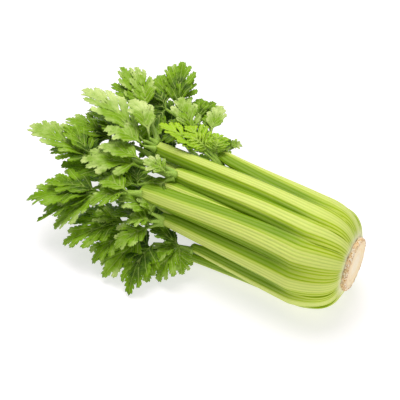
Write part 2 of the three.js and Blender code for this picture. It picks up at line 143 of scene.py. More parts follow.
SPRIGS = [sprig(*row) for row in [
    ("b1", (226, 3, 88), (238, -3, 93), (339, 27, 95, 34, 6, 0.66, "long"),
     (332, 24, 74, 28, 3, 0.25)),
    ("b2", (225, -1, 87), (233, -8, 92), (275, -18, 99, 30, 5, 0.68, "narrow"),
     (303, 6, 86, 26, 3, 0.3)),
    ("b3", (227, 4, 90), (233, 1, 96), (274, 25, 110, 24, 8, 0.8, "narrow")),
    ("b4", (227, 8, 86), (261, 33, 95), (321, 69, 105, 24, 4, 0.5), (305, 74, 107, 22, 5, 0.5),
     (283, 64, 104, 22, 5, 0.5, "narrow"), (318, 48, 96, 24, 3, 0.3)),
    ("m1", (218, -9, 76), (279, -35, 72), (364, -31, 73, 33, 4, 0.66, "long"),
     (330, -17, 80, 24, 4, 0.45), (314, -13, 72, 26, 3, 0.25), (328, -43, 66, 24, 3, 0.4)),
    ("m2", (219, -3, 76), (280, -1, 72), (340, -2, 72, 26, 4, 0.5), (314, 16, 70, 28, 3, 0.2),
     (310, -3, 62, 28, 3, 0.15)),
    ("c1", (185, -19, 88), (222, -24, 89), (269, -35, 93, 22, 4, 0.58, "narrow")),
    ("c2", (185, -22, 85), (222, -28, 84), (279, -52, 82, 34, 4, 0.55)),
    ("c3", (185, -22, 90), (191, -28, 94), (217, -31, 98, 20, 3, 0.6),
     (214, -30, 84, 20, 3, 0.25)),
    ("c4", (185, -24, 87), (191, -30, 84), (195, -42, 74, 20, 3, 0.4)),
    ("e1", (203, -50, 75), (250, -59, 60), (318, -94, 42, 38, 4, 0.4),
     (311, -72, 52, 28, 4, 0.4), (276, -103, 31, 32, 4, 0.45), (296, -105, 31, 26, 3, 0.35)),
    ("e2", (203, -52, 79), (214, -59, 78), (244, -82, 66, 28, 4, 0.45),
     (250, -58, 76, 24, 4, 0.5, "narrow")),
    ("d1", (199, -33, 78), (219, -38, 70), (259, -51, 66, 22, 4, 0.55),
     (257, -8, 63, 24, 3, 0.2), (236, -14, 64, 22, 3, 0.2), (267, -52, 50, 28, 3, 0.2)),
    ("f1", (178, -52, 58), (189, -56, 63), (227, -58, 68, 24, 4, 0.6),
     (211, -46, 72, 18, 4, 0.6), (201, -45, 74, 14, 3, 0.6, "narrow")),
    ("f2", (179, -53, 56), (187, -60, 56), (206, -74, 55, 26, 4, 0.5),
     (243, -58, 40, 28, 3, 0.2)),
    ("f3", (178, -52, 53), (189, -61, 48), (206, -94, 37, 32, 5, 0.6),
     (203, -52, 50, 16, 3, 0.3, "narrow")),
    ("f4", (179, -49, 52), (216, -66, 44), (261, -109, 24, 32, 4, 0.5),
     (250, -79, 40, 20, 4, 0.5, "narrow"), (268, -88, 33, 28, 3, 0.3),
     (264, -67, 36, 26, 3, 0.2)),
    ("t1", (209, -28, 42), (209, -62, 33), (226, -106, 14, 32, 4, 0.35)),
    ("t2", (209, -30, 40), (197, -58, 31), (211, -110, 7, 34, 5, 0.45)),
    ("g1", (147, -47, 27), (185, -60, 27), (178, -111, 3, 32, 8, 0.25),
     (172, -90, 6, 22, 6, 0.4, "narrow")),
    ("g2", (147, -48, 30), (160, -51, 31), (178, -76, 17, 22, 4, 0.45),
     (164, -82, 5, 28, 6, 0.45), (148, -64, 9, 24, 4, 0.45), (196, -56, 42, 18, 3, 0.25)),
    ("l1", (180, 48, 70), (252, 54, 88), (284, 87, 98, 20, 4, 0.35, "narrow"),
     (289, 74, 97, 20, 4, 0.35, "narrow"), (288, 62, 84, 26, 3, 0.25), (258, 12, 70, 28, 3, 0.2)),
    ("l2", (180, 51, 73), (244, 60, 88), (273, 114, 104, 28, 4, 0.35),
     (282, 100, 102, 22, 4, 0.35), (252, 102, 96, 22, 4, 0.35)),
    ("a1", (166, 33, 87), (206, 38, 88), (244, 67, 100, 26, 4, 0.68), (240, 46, 84, 24, 3, 0.3),
     (241, 28, 70, 26, 3, 0.15)),
    ("l3", (180, 54, 70), (219, 66, 76), (221, 98, 82, 22, 4, 0.3),
     (235, 90, 86, 18, 4, 0.3, "narrow")),
    ("a2", (166, 38, 87), (192, 47, 88), (206, 87, 92, 17, 3, 0.75, "narrow"),
     (212, 80, 84, 16, 3, 0.4, "narrow")),
    ("a3", (166, 36, 89), (164, 40, 91), (155, 49, 90, 14, 2, 0.75)),
    ("k1", (164, 53, 36), (184, 64, 56), (188, 76, 64, 20, 3, 0.2)),
    ("k2", (164, 53, 32), (195, 70, 28), (240, 100, 14, 30, 4, 0.4), (225, 110, 24, 22, 4, 0.4)),
    ("n1", (200, 34, 62), (235, 50, 60), (288, 88, 62, 30, 4, 0.3), (268, 98, 46, 26, 4, 0.4),
     (284, 66, 70, 28, 4, 0.2), (268, 28, 60, 26, 3, 0.15), (250, 4, 60, 30, 3, 0.15)),
    ("j1", (172, 32, 10), (205, 44, 9), (264, 72, 4, 32, 4, 0.4), (243, 92, 6, 26, 4, 0.4)),
    ("i1", (192, 4, 5), (225, 4, 7), (204, -32, 24, 32, 3, 0.1), (288, -16, 3, 30, 4, 0.3),
     (290, 26, 4, 30, 4, 0.3)),
    ("h1", (168, -47, 9), (196, -52, 8), (228, -58, 12, 32, 3, 0.15), (178, -68, 5, 26, 3, 0.1),
     (262, -72, 5, 30, 4, 0.3), (234, -92, 3, 24, 4, 0.3)),
    ("p1", (210, 0, 19), (245, 2, 24), (318, 20, 24, 34, 4, 0.3), (322, -32, 30, 34, 4, 0.3)),
    ("r1", (224, -13, 54), (262, -20, 51), (312, -46, 54, 34, 4, 0.3),
     (318, -12, 44, 30, 4, 0.3), (281, 25, 70, 26, 3, 0.2), (276, -8, 66, 26, 3, 0.2)),
    ("q1", (161, 19, 80), (178, 17, 93), (234, 18, 102, 28, 3, 0.9), (212, 9, 99, 20, 3, 0.8)),
    ("q2", (161, 21, 81), (178, 21, 94), (210, 34, 100, 26, 3, 0.85),
     (198, 20, 103, 20, 3, 0.95)),
    ("q3", (161, 22, 80), (171, 24, 91), (184, 45, 95, 24, 3, 0.8), (174, 34, 101, 18, 3, 0.9)),
]]

# Lobes of a blade in blade lengths: where a lobe leaves the midrib, where it ends (along,
# across), its half width and the teeth on each of its edges. Lobes off the midrib come in pairs.
LOBES = {
    "broad": [
        (0.38, 1, 0, 0.12, 5), (0.4, 0.87, 0.27, 0.08, 4), (0.26, 0.67, 0.46, 0.094, 4),
        (0.13, 0.38, 0.44, 0.07, 3)],
    "full": [
        (0.34, 1, 0, 0.14, 5), (0.36, 0.86, 0.31, 0.092, 4), (0.22, 0.64, 0.49, 0.104, 4),
        (0.12, 0.35, 0.43, 0.078, 3)],
    "long": [
        (0.54, 1, 0, 0.08, 5), (0.54, 0.9, 0.17, 0.05, 4), (0.38, 0.78, 0.26, 0.058, 4),
        (0.22, 0.6, 0.31, 0.06, 4), (0.1, 0.37, 0.28, 0.052, 3)],
    "narrow": [
        (0.42, 1, 0, 0.125, 5), (0.44, 0.83, 0.22, 0.07, 3), (0.28, 0.64, 0.31, 0.085, 4),
        (0.17, 0.42, 0.27, 0.066, 3)],
    "frond": [
        (0.62, 1, 0, 0.07, 3), (0.62, 0.88, 0.16, 0.045, 2), (0.46, 0.77, 0.25, 0.054, 3),
        (0.3, 0.62, 0.31, 0.058, 3), (0.16, 0.44, 0.31, 0.054, 3), (0.06, 0.24, 0.24, 0.045, 2)],
}
# The strip each side of the midrib that joins the lobes: (along, half width).
WEBS = {
    "broad": [(0, 0.012), (0.08, 0.024), (0.18, 0.09), (0.32, 0.13), (0.5, 0.12), (0.7, 0.05)],
    "full": [(0, 0.014), (0.07, 0.03), (0.16, 0.1), (0.32, 0.15), (0.5, 0.13), (0.7, 0.06)],
    "long": [(0, 0.01), (0.07, 0.02), (0.2, 0.055), (0.45, 0.07), (0.65, 0.06), (0.8, 0.04)],
    "narrow": [(0, 0.01), (0.1, 0.022), (0.26, 0.06), (0.46, 0.08), (0.64, 0.06), (0.8, 0.04)],
    "frond": [(0, 0.01), (0.1, 0.018), (0.4, 0.026), (0.65, 0.03), (0.8, 0.035)],
}
HALF_WIDTH = {kind: max(lobe[2] for lobe in lobes) for kind, lobes in LOBES.items()}
TOOTH_START = 0.36  # the teeth of a lobe run from here to there along it
TOOTH_END = 0.93
LOBE_WIDEST = 0.56  # where a lobe is widest, and its width where it starts
LOBE_FOOT = 0.34
LATTICE = 0.045  # spacing of the points inside a blade, in blade lengths
WIDEST_HALF = 0.62  # no lobe reaches further sideways than this
VEIN_END = 0.97  # the midrib stops short of the tip


# ---- settings a user would change ----
def length(name, description, value, low, high):
    """A length property with its default and limits, in metres."""
    return FloatProperty(name=name, description=description, default=value, min=low, max=high,
                         subtype="DISTANCE", unit="LENGTH")


class CelerySizes(bpy.types.PropertyGroup):
    """Sizes of the fine shapes that the frame leaves out."""

    rib_height: length("Rib height", "How far the ribs stand out of a stalk", 0.0005, 0, 0.002)
    margin_roll: length("Margin roll", "How far the margins of a 35 mm wide stalk turn in",
                        0.008, 0, 0.012)
    leaf_thickness: length("Leaf thickness", "Thickness of a leaf blade", 0.0005, 0.0002, 0.0012)
    quilting: length("Quilting", "How far a blade rises between its side veins",
                     0.0007, 0, 0.002)
    stations: IntProperty(name="Steps along a stalk", default=90, min=20, max=200,
                          description="Cross-sections along each stalk")


def srgb(red, green, blue):
    """Linear colour from the 0 to 255 values of a paint card."""
    return tuple(((v / 255 + 0.055) / 1.055) ** 2.4 if v > 10 else v / 3294.6
                 for v in (red, green, blue))


def colour(name, description, value):
    """A colour property with its default."""
    return FloatVectorProperty(name=name, description=description, default=value, size=3,
                               min=0.0, max=1.0, subtype="COLOR")


class CeleryColours(bpy.types.PropertyGroup):
    """Colours of the stalks, leaves, root base and floor."""

    stalk: colour("Stalk", "Skin of a stalk on its crown", srgb(168, 194, 16))
    stalk_crest: colour("Rib crest", "Top of the ribs", srgb(222, 231, 116))
    stalk_groove: colour("Rib groove", "Between the ribs", srgb(126, 158, 0))
    # painted shade: darker green for the sides of a stalk under its crown
    stalk_shaded_side: colour("Stalk side", "Sides of a stalk, under its crown", srgb(88, 134, 0))
    stalk_foot: colour("Stalk foot", "Pale end of the stalks at the root", srgb(246, 243, 206))
    # painted shade: the dark green of blades deep in or under the bunch, and the leaf's own dark
    # patches
    leaf_dark_and_shade: colour("Dark leaf", "Deep places of a blade", srgb(34, 70, 0))
    leaf: colour("Leaf", "Upper side of a blade", srgb(122, 164, 0))
    # painted sheen: the pale, silvery green of blades facing the light, and the leaf's own pale
    # patches
    leaf_pale_and_sheen: colour("Pale leaf", "Upper side of a pale blade", srgb(216, 232, 150))
    leaf_young: colour("Young leaf", "Blades at the heart", srgb(132, 182, 4))
    vein: colour("Vein", "Midrib and side veins", srgb(186, 206, 112))
    root_flesh: colour("Root flesh", "Cut face of the root", srgb(255, 234, 192))
    root_bark: colour("Root rim", "Browned rim of the cut", srgb(200, 150, 88))
    floor: colour("Floor", "Plain floor", srgb(192, 187, 191))


def sizes():
    """The size settings."""
    return bpy.context.scene.celery_sizes


def colours():
    """The colour settings."""
    return bpy.context.scene.celery_colours


# ---- shader expressions ----
def joined(operation, swapped=False):
    """The method that joins a term and a number, or two terms, by a Math node."""
    def method(term, other):
        pair = (other, term) if swapped else (term, other)
        return term.graph.maths(operation, *pair)
    return method


class Term:
    """A node socket that takes part in Python expressions."""

    def __init__(self, graph, socket):
        self.graph = graph
        self.socket = socket

    __add__ = joined("ADD")
    __radd__ = joined("ADD", True)
    __sub__ = joined("SUBTRACT")
    __rsub__ = joined("SUBTRACT", True)
    __mul__ = joined("MULTIPLY")
    __rmul__ = joined("MULTIPLY", True)
    __truediv__ = joined("DIVIDE")

    def __abs__(self):
        return self.graph.maths("ABSOLUTE", self)


class Graph:
    """Nodes of one material."""

    def __init__(self, name):
        self.material = bpy.data.materials.new(name)
        self.material.use_nodes = True
        self.tree = self.material.node_tree
        self.tree.nodes.clear()

    def add(self, kind, settings=None, sockets=None, output=0):
        """A node of that type: its settings first, then the values or links of its sockets."""
        node = self.tree.nodes.new(kind)
        for name, value in (settings or {}).items():
            setattr(node, name, value)
        for name, value in (sockets or {}).items():
            self.feed(node.inputs[name], value)
        return Term(self, node.outputs[output] if node.outputs else None)

    def feed(self, socket, value):
        """Links a term to a socket, or sets the socket's own value."""
        if isinstance(value, Term):
            self.tree.links.new(value.socket, socket)
        else:
            socket.default_value = value

    def maths(self, operation, *values):
        """A Math node on numbers."""
        return self.add("ShaderNodeMath", {"operation": operation}, dict(enumerate(values)))

    def attributes(self, *names):
        """Numbers stored on the mesh."""
        return [self.add("ShaderNodeAttribute", {"attribute_name": name}, output="Fac")
                for name in names]

    def smooth(self, value, low, high):
        """0 below low and 1 above high, smooth between."""
        settings = {"interpolation_type": "SMOOTHSTEP"}
        sockets = {"Value": value, "From Min": low, "From Max": high}
        return self.add("ShaderNodeMapRange", settings, sockets)

    def blend(self, factor, first, second):
        """Two colours mixed."""
        settings = {"data_type": "RGBA"}
        first = first if isinstance(first, Term) else (*first, 1.0)
        second = second if isinstance(second, Term) else (*second, 1.0)
        return self.add("ShaderNodeMix", settings, {0: factor, 6: first, 7: second}, 2)

    def layers(self, skin, *coats):
        """Coats of colour over each other, each given as (how much of it shows, colour)."""
        for cover, coat in coats:
            skin = self.blend(cover, skin, coat)
        return skin

    def vector(self, x, y, z):
        """Three numbers joined."""
        return self.add("ShaderNodeCombineXYZ", None, {0: x, 1: y, 2: z})

    def cloud(self, where, scale, detail=3.0, roughness=0.5):
        """Noise from 0 to 1."""
        sockets = {"Vector": where, "Scale": scale, "Detail": detail, "Roughness": roughness}
        return self.add("ShaderNodeTexNoise", None, sockets)

    def bump(self, height, distance, strength=1.0):
        """A bumped normal from a height."""
        return self.add("ShaderNodeBump", None, {
            "Height": height, "Distance": distance, "Strength": strength})

    def finish(self, skin, roughness, fixed, **varying):
        """The surface shader: what varies is linked, what is the same all over is set."""
        sockets = {**fixed, "Base Color": skin, "Roughness": roughness, **varying}
        shader = self.add("ShaderNodeBsdfPrincipled", None, sockets)
        self.add("ShaderNodeOutputMaterial", None, {"Surface": shader})
        return self.material


def position(graph):
    """The place on the object, in metres."""
    return graph.add("ShaderNodeTexCoord", output="Object")


def soft(weight, depth, radius=(0.6, 1.0, 0.2)):
    """Settings of flesh that some light shines into."""
    return {"Subsurface Weight": weight, "Subsurface Scale": depth, "Subsurface Radius": radius}


def stalk_skin():
    """Ribbed celery skin: pale strings on green flesh, whitening toward the root; painted
    highlight on the crown, painted shade on the sides.
    """
    graph = Graph("celery_stalk_skin")
    tint = colours()
    rib, along, across, inner, tone = graph.attributes("rib", "along", "across", "inner", "tone")
    streaks = graph.cloud(graph.vector(across * 9.0, along * 0.9, tone * 7.0), 6.0, 4.0, 0.6)
    hairs = graph.cloud(graph.vector(across * 60.0, along * 3.0, tone * 3.0), 6.0, 2.0, 0.6)
    patches = graph.cloud(position(graph), 28.0, 3.0, 0.55)
    # crown: the middle of a stalk's top, where a painted highlight is laid
    crown = 1 - graph.smooth(abs(across), 0.25, 0.50)
    # flank: the sides of a stalk, where painted shade is laid; away keeps it off the foot
    flank = graph.smooth(abs(across) + (streaks - 0.5) * 0.10, 0.34, 0.66)
    away = graph.smooth(along, 0.12, 0.38)
    deep = graph.smooth(along + (patches - 0.5) * 0.2, 0.60, 1.20)
    pale = 1 - graph.smooth(along + (streaks - 0.5) * 0.05, -0.01, 0.055)
    skin = graph.layers(
        tint.stalk_groove,
        (graph.smooth(rib, 0.0, 0.5), tint.stalk),
        (graph.smooth(rib, 0.45, 0.95) * 0.65, tint.stalk_crest),
        (graph.smooth(streaks, 0.40, 0.75) * 0.30, tint.stalk),
        (graph.smooth(hairs, 0.5, 0.8) * 0.30, tint.stalk_crest),
        (graph.smooth(patches, 0.45, 0.75) * 0.20, srgb(158, 190, 40)),
        # painted highlight: pale yellow-green over the crown
        (crown * 0.48, srgb(232, 240, 146)),
        # painted shade on the sides, kept off the hollow inner side
        (flank * away * 0.70 * (1 - inner), tint.stalk_shaded_side),
        (inner * 0.6, srgb(150, 184, 48)),
        (deep * 0.25, srgb(128, 172, 24)),
        (pale * 0.92, tint.stalk_foot))
    relief = hairs * 0.5 + streaks * 0.5
    return graph.finish(skin, 0.30 + hairs * 0.16 + pale * 0.12,
                        {"Specular IOR Level": 0.14, **soft(0.08, 0.004)},
                        Normal=graph.bump(relief, 0.00035, 0.6))


def leaf_skin(name, young):
    """Leaf blade: green with pale midrib, side veins and a fine net, paler underneath."""
    graph = Graph(name)
    tint = colours()
    along, across, gap, tone, under = graph.attributes("along", "across", "rib", "tone", "under")
    plan = graph.vector(along * 3.0, across * 3.0, tone * 9.0)
    veins = 1 - graph.smooth(gap, 0.15, 0.75)
    slant = (along - abs(across) * 1.2) / 0.06 + graph.cloud(plan, 2.0) * 1.2
    wave = abs(graph.maths("FRACT", slant + 10.0) - 0.5) * 2.0
    side_veins = graph.smooth(wave, 0.80, 0.98)
    net = graph.add("ShaderNodeTexVoronoi", {"feature": "DISTANCE_TO_EDGE"},
                    {"Vector": plan, "Scale": 7.0})
    net_lines = 1 - graph.smooth(net, 0.0, 0.08)
    patches = graph.cloud(plan, 1.3, 4.0, 0.6)
    speckle = graph.cloud(plan, 18.0, 2.0, 0.6)
    # dark, middle and pale ends of a blade's colour: the dark end serves as painted shade and the
    # pale end as a painted sheen, besides the leaf's own mottling
    dark = srgb(112, 156, 0) if young else tint.leaf_dark_and_shade
    middle = tint.leaf_young if young else tint.leaf
    pale = srgb(168, 206, 34) if young else tint.leaf_pale_and_sheen
    outward = graph.smooth(along * 0.8 + abs(across) * 0.9, 0.35, 1.05)
    # level: each blade's tone (partly painted shade and sheen), random patches, and paler toward
    # the lobe ends
    level = tone + (patches - 0.5) * 1.2 + outward * 0.40 - 0.14
    skin = graph.layers(
        dark,
        (graph.smooth(level, -0.05, 0.48), middle),
        (graph.smooth(level, 0.42, 1.10), pale),
        (graph.smooth(speckle, 0.45, 0.75) * 0.22, middle),
        (net_lines * 0.12, tint.vein),
        (side_veins * 0.16, tint.vein),
        (veins * 0.55, tint.vein),
        (under * 0.35, srgb(132, 166, 40)))
    relief = side_veins * -0.15 + veins * -0.4 + net_lines * -0.15 + speckle * 0.4
    return graph.finish(skin, 0.36 + speckle * 0.20 + under * 0.15,
                        {"Specular IOR Level": 0.14, **soft(0.04, 0.002, (0.6, 1.0, 0.1))},
                        Normal=graph.bump(relief, 0.0006, 0.8))


def stem_skin():
    """Leaf stems and midribs: pale green with fine lengthwise lines."""
    graph = Graph("celery_leaf_stem")
    around, along = graph.attributes("across", "along")
    lines = graph.cloud(graph.vector(around * 14.0, along * 2.0, 0.0), 5.0, 2.0, 0.5)
    skin = graph.blend(graph.smooth(lines, 0.35, 0.7), srgb(128, 172, 36), srgb(184, 208, 100))
    return graph.finish(skin, 0.34 + lines * 0.15, {"IOR": 1.42, **soft(0.06, 0.002)},
                        Normal=graph.bump(lines, 0.0003, 0.6))


def root_skin():
    """Trimmed root: moist cream flesh in rings, with a ragged browned rim."""
    graph = Graph("celery_root_cut")
    tint = colours()
    reach, rim = graph.attributes("across", "rib")
    where = position(graph)
    grain = graph.cloud(where, 260.0, 4.0, 0.65)
    blots = graph.cloud(where, 240.0, 4.0, 0.6)
    specks = graph.cloud(where, 800.0, 2.0, 0.5)
    rings = abs(graph.maths("FRACT", (reach + (blots - 0.5) * 0.10) * 5.0) - 0.5) * 2.0
    heart = 1 - graph.smooth(reach + (blots - 0.5) * 0.2, 0.25, 0.60)
    bark = graph.smooth(rim + (grain - 0.5) * 1.1, 0.30, 0.85)
    spots = graph.smooth(specks, 0.52, 0.60) * graph.smooth(rim, 0.1, 0.7)
    skin = graph.layers(
        tint.root_flesh,
        (graph.smooth(rings, 0.45, 0.95) * 0.30, srgb(238, 196, 140)),
        (graph.smooth(blots, 0.5, 0.75) * 0.35, srgb(250, 238, 214)),
        (heart * 0.6, srgb(255, 244, 220)),
        (bark * 0.30, tint.root_bark),
        (graph.smooth(blots, 0.48, 0.62) * rim * 0.7, srgb(252, 244, 226)),
        (spots * 0.75, srgb(186, 122, 48)))
    return graph.finish(skin, 0.55 + grain * 0.25,
                        {"IOR": 1.4, **soft(0.10, 0.004, (1.0, 0.8, 0.5))},
                        Normal=graph.bump(grain * 0.6 + rings * 0.2, 0.0008, 0.8))


FLOOR_GLOW = 0.63  # a lit table: keeps the shadows pale


def floor_paint():
    """Plain pale floor with a faint unevenness."""
    graph = Graph("floor_paint")
    mottle = graph.cloud(position(graph), 3.0, 2.0, 0.5)
    shade = graph.blend(mottle * 0.03, colours().floor, srgb(186, 181, 185))
    return graph.finish(shade, 0.85, {"Specular IOR Level": 0.2, "Emission Color": (1, 1, 1, 1),
                                      "Emission Strength": FLOOR_GLOW})


# ---- mesh helpers ----
def place(point):
    """A place in the frame, in millimetres, from [along, across, height]."""
    along, across, height = point
    return np.array([-along, across, height], float) + ORIGIN


def ease(value):
    """Smooth step from 0 to 1."""
    k = min(max(value, 0.0), 1.0)
    return k * k * (3 - 2 * k)


def mix(first, second, t):
    """Straight mix of two values."""
    return first + (second - first) * t


UP = np.array([0.0, 0.0, 1.0])


def unit(vector):
    """The vector at length 1."""
    return vector / norm(vector)


def hermite(start, end, slope_end, run, t):
    """Curve from start, level, to end with a slope."""
    return ((2 * t ** 3 - 3 * t ** 2 + 1) * start + (-2 * t ** 3 + 3 * t ** 2) * end
            + (t ** 3 - t ** 2) * run * slope_end)


def put(name, data):
    """A new object in the scene."""
    piece = bpy.data.objects.new(name, data)
    bpy.context.scene.collection.objects.link(piece)
    return piece


def chain(parts, *ends):
    """The arrays one after another, with the numbers of the end points last."""
    return np.concatenate([*parts, ends])


class Patch:
    """Points, faces and the numbers stored on them, gathered before one mesh is made."""

    def __init__(self):
        self.points = []
        self.faces = []
        self.slots = []
        self.data = {name: [] for name in ("along", "across", "rib", "inner", "under", "tone")}

    def add(self, points, faces, slot=0, **numbers):
        """Adds points in millimetres and faces that index them."""
        start = len(self.points)
        self.points.extend(np.asarray(points) * MM)
        self.faces.extend(tuple(start + i for i in face) for face in faces)
        self.slots.extend([slot] * len(faces))
        for name, values in self.data.items():
            given = numbers.get(name, 0.0)
            values.extend(np.broadcast_to(given, len(points)))

    def build(self, name, materials, replaced):
        """Makes the object, gives it its materials and hands it to the frame."""
        mesh = bpy.data.meshes.new(name)
        mesh.from_pydata([tuple(p) for p in self.points], [], self.faces)
        for label, values in self.data.items():
            layer = mesh.attributes.new(label, "FLOAT", "POINT")
            layer.data.foreach_set("value", np.asarray(values, np.float32))
        for material in materials:
            mesh.materials.append(material)
        mesh.polygons.foreach_set("material_index", self.slots)
        mesh.polygons.foreach_set("use_smooth", [True] * len(self.faces))
        mesh.update()
        piece = put(name, mesh)
        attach(piece, "root")
        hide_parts(replaced)


def tube_faces(rings, count):
    """Faces of a tube of rings, with its two ends closed by a centre point each."""
    faces = []
    for ring in range(rings - 1):
        for i in range(count):
            a = ring * count + i
            b = ring * count + (i + 1) % count
            faces.append((a, a + count, b + count, b))
    first = rings * count
    last = (rings - 1) * count
    for i in range(count):
        j = (i + 1) % count
        faces.append((first, i, j))
        faces.append((first + 1, last + j, last + i))
    return faces


# ---- stalks ----
FLAT_SIDE = radians(45)  # ring angle at which the bulb swells most slowly
SLOPE_POWER = 1.7  # the bulb slopes gently on its flat side
ROUND_POWER = 2.4  # and is full and round on the side across from it
FAR_SLIM = 0.08  # the +Y side of the bunch is this much slimmer
FOOT_INSET = 0.5  # outer stalks start this far inside the edge of the root
INNER_FOOT = 0.42  # share of their ring radius at which inner stalks start
END_SLOPE = 1.3  # how straight a stalk runs into its far end
YAW_OVER = 30  # over this distance the stalks stop following the slant of the cut
LEAST_LEAN = 0.15  # how flat a stalk lies where it turns in toward the root
SHOULDER = 0.34  # where the flat crown of a stalk turns down into its sides, from 0 to 1
CREASE = 1.3  # how sharply it turns: 1 is a fold, 2 is a round bend
ROUNDER_FROM = 60  # from here to its far end a stalk grows rounder in section
END_ROUNDNESS = 14  # radius of the section at the far end, and how nearly it is reached
ROUNDEST = 0.9
FOOT_NARROW = 0.12  # width a stalk keeps toward its foot, as a share
FOOT_THIN = 0.8  # its thickness there, and the distance over which it grows
GROWS_OVER = 40
FOOT_RIBS = 0.45  # height of the ribs at the foot and at the far end, as a share
END_RIBS = 0.7
NECK = 0.86  # the far end narrows to this before it is rounded off
NECK_FROM = 20
NECK_OVER = 18
TIP_OVER = 4
TIP_ROUND = 0.9
TAPER_POWER = 0.8  # a stalk loses most of its width soon after the bulb
ROLL_FROM = 8  # the margins are flat here and turn in over this distance
ROLL_OVER = 62
LEAST_ROLL = 0.12
ROLL_WIDTH = 35  # width of the stalk whose margin roll is set
MARGIN_THICK = 0.32  # thickness of a margin and width of the hollow side, as shares
INNER_WIDTH = 0.9
SIDE_PUFF = 0.10  # how far the cut sides of a margin swell
RIB_WANDER = 0.5  # how far the ribs drift sideways, and how slowly
WANDER_PACE = 0.015
UNEVEN_PACE = 0.012  # how slowly the skin rises and falls along and across a stalk
UNEVEN_ACROSS = 3.1
UNEVEN_RISE = 0.4
RIB_POINTS = 6
SIDE_POINTS = 3
INNER_POINTS = 13
TABLE_GAP = 0.02
PAINT_LENGTH = 200  # one unit of the number "along" on a stalk


def stalk_line(spec, along):
    """Where the outside of a stalk runs: sideways place, height and ring radius."""
    angle = radians(spec["angle"])
    near_base = ease((along - COLLAR) / (THICKEST_AT - COLLAR))
    outermost = spec["radius"] == BUNCH_RADIUS
    inner = CUT_RADIUS - FOOT_INSET if outermost else spec["radius"] * INNER_FOOT
    q = min(max((along - COLLAR) / (THICKEST_AT - COLLAR), 0), 1)
    fullness = (1 - cos(angle - FLAT_SIDE)) / 2
    sloping = (1 - (1 - q) ** SLOPE_POWER) ** (1 / SLOPE_POWER)
    rounded = (1 - (1 - q) ** ROUND_POWER) ** (1 / ROUND_POWER)
    swollen = mix(sloping, rounded, fullness)
    full = spec["radius"] * (1 - FAR_SLIM * max(sin(angle), 0))
    radius = mix(inner, full, swollen)
    y = CUT_ACROSS * (1 - near_base) + radius * sin(angle)
    z = AXIS_HEIGHT + radius * cos(angle)
    if along <= THICKEST_AT:
        return y, z, radius
    run = spec["end"][0] - THICKEST_AT
    t = (along - THICKEST_AT) / run
    end_y, end_z = spec["end"][1:]
    return (hermite(y, end_y, (end_y - y) / run * END_SLOPE, run, t),
            hermite(z, end_z, (end_z - z) / run * END_SLOPE, run, t), radius)


def section_sizes(spec, along, first, radius, far):
    """Width, thickness, turn-in of the margins and height of the ribs at a place."""
    end = spec["end"][0]
    swell = mix(FOOT_NARROW, 1, radius / spec["radius"]) if along < THICKEST_AT else 1
    neck = mix(1, NECK, ease((along - (end - NECK_FROM)) / NECK_OVER))
    close = max(0.0, (along - (end - TIP_OVER)) / TIP_OVER)
    shrink = neck * sqrt(max(1 - close ** 2 * TIP_ROUND, 0.02))
    wide = mix(spec["width"] * swell, spec["end_width"], max(far, 0) ** TAPER_POWER) * shrink
    grown = ease((along - first) / GROWS_OVER)
    thick = spec["thick"] * mix(FOOT_THIN, 1, grown) * shrink
    rolled = mix(LEAST_ROLL, 1, ease((along - ROLL_FROM) / ROLL_OVER))
    roll = sizes().margin_roll / MM * wide / ROLL_WIDTH * rolled
    ribbed = mix(FOOT_RIBS, 1.0, grown) * mix(1, END_RIBS, ease(far)) * shrink
    return wide, thick, roll, ribbed


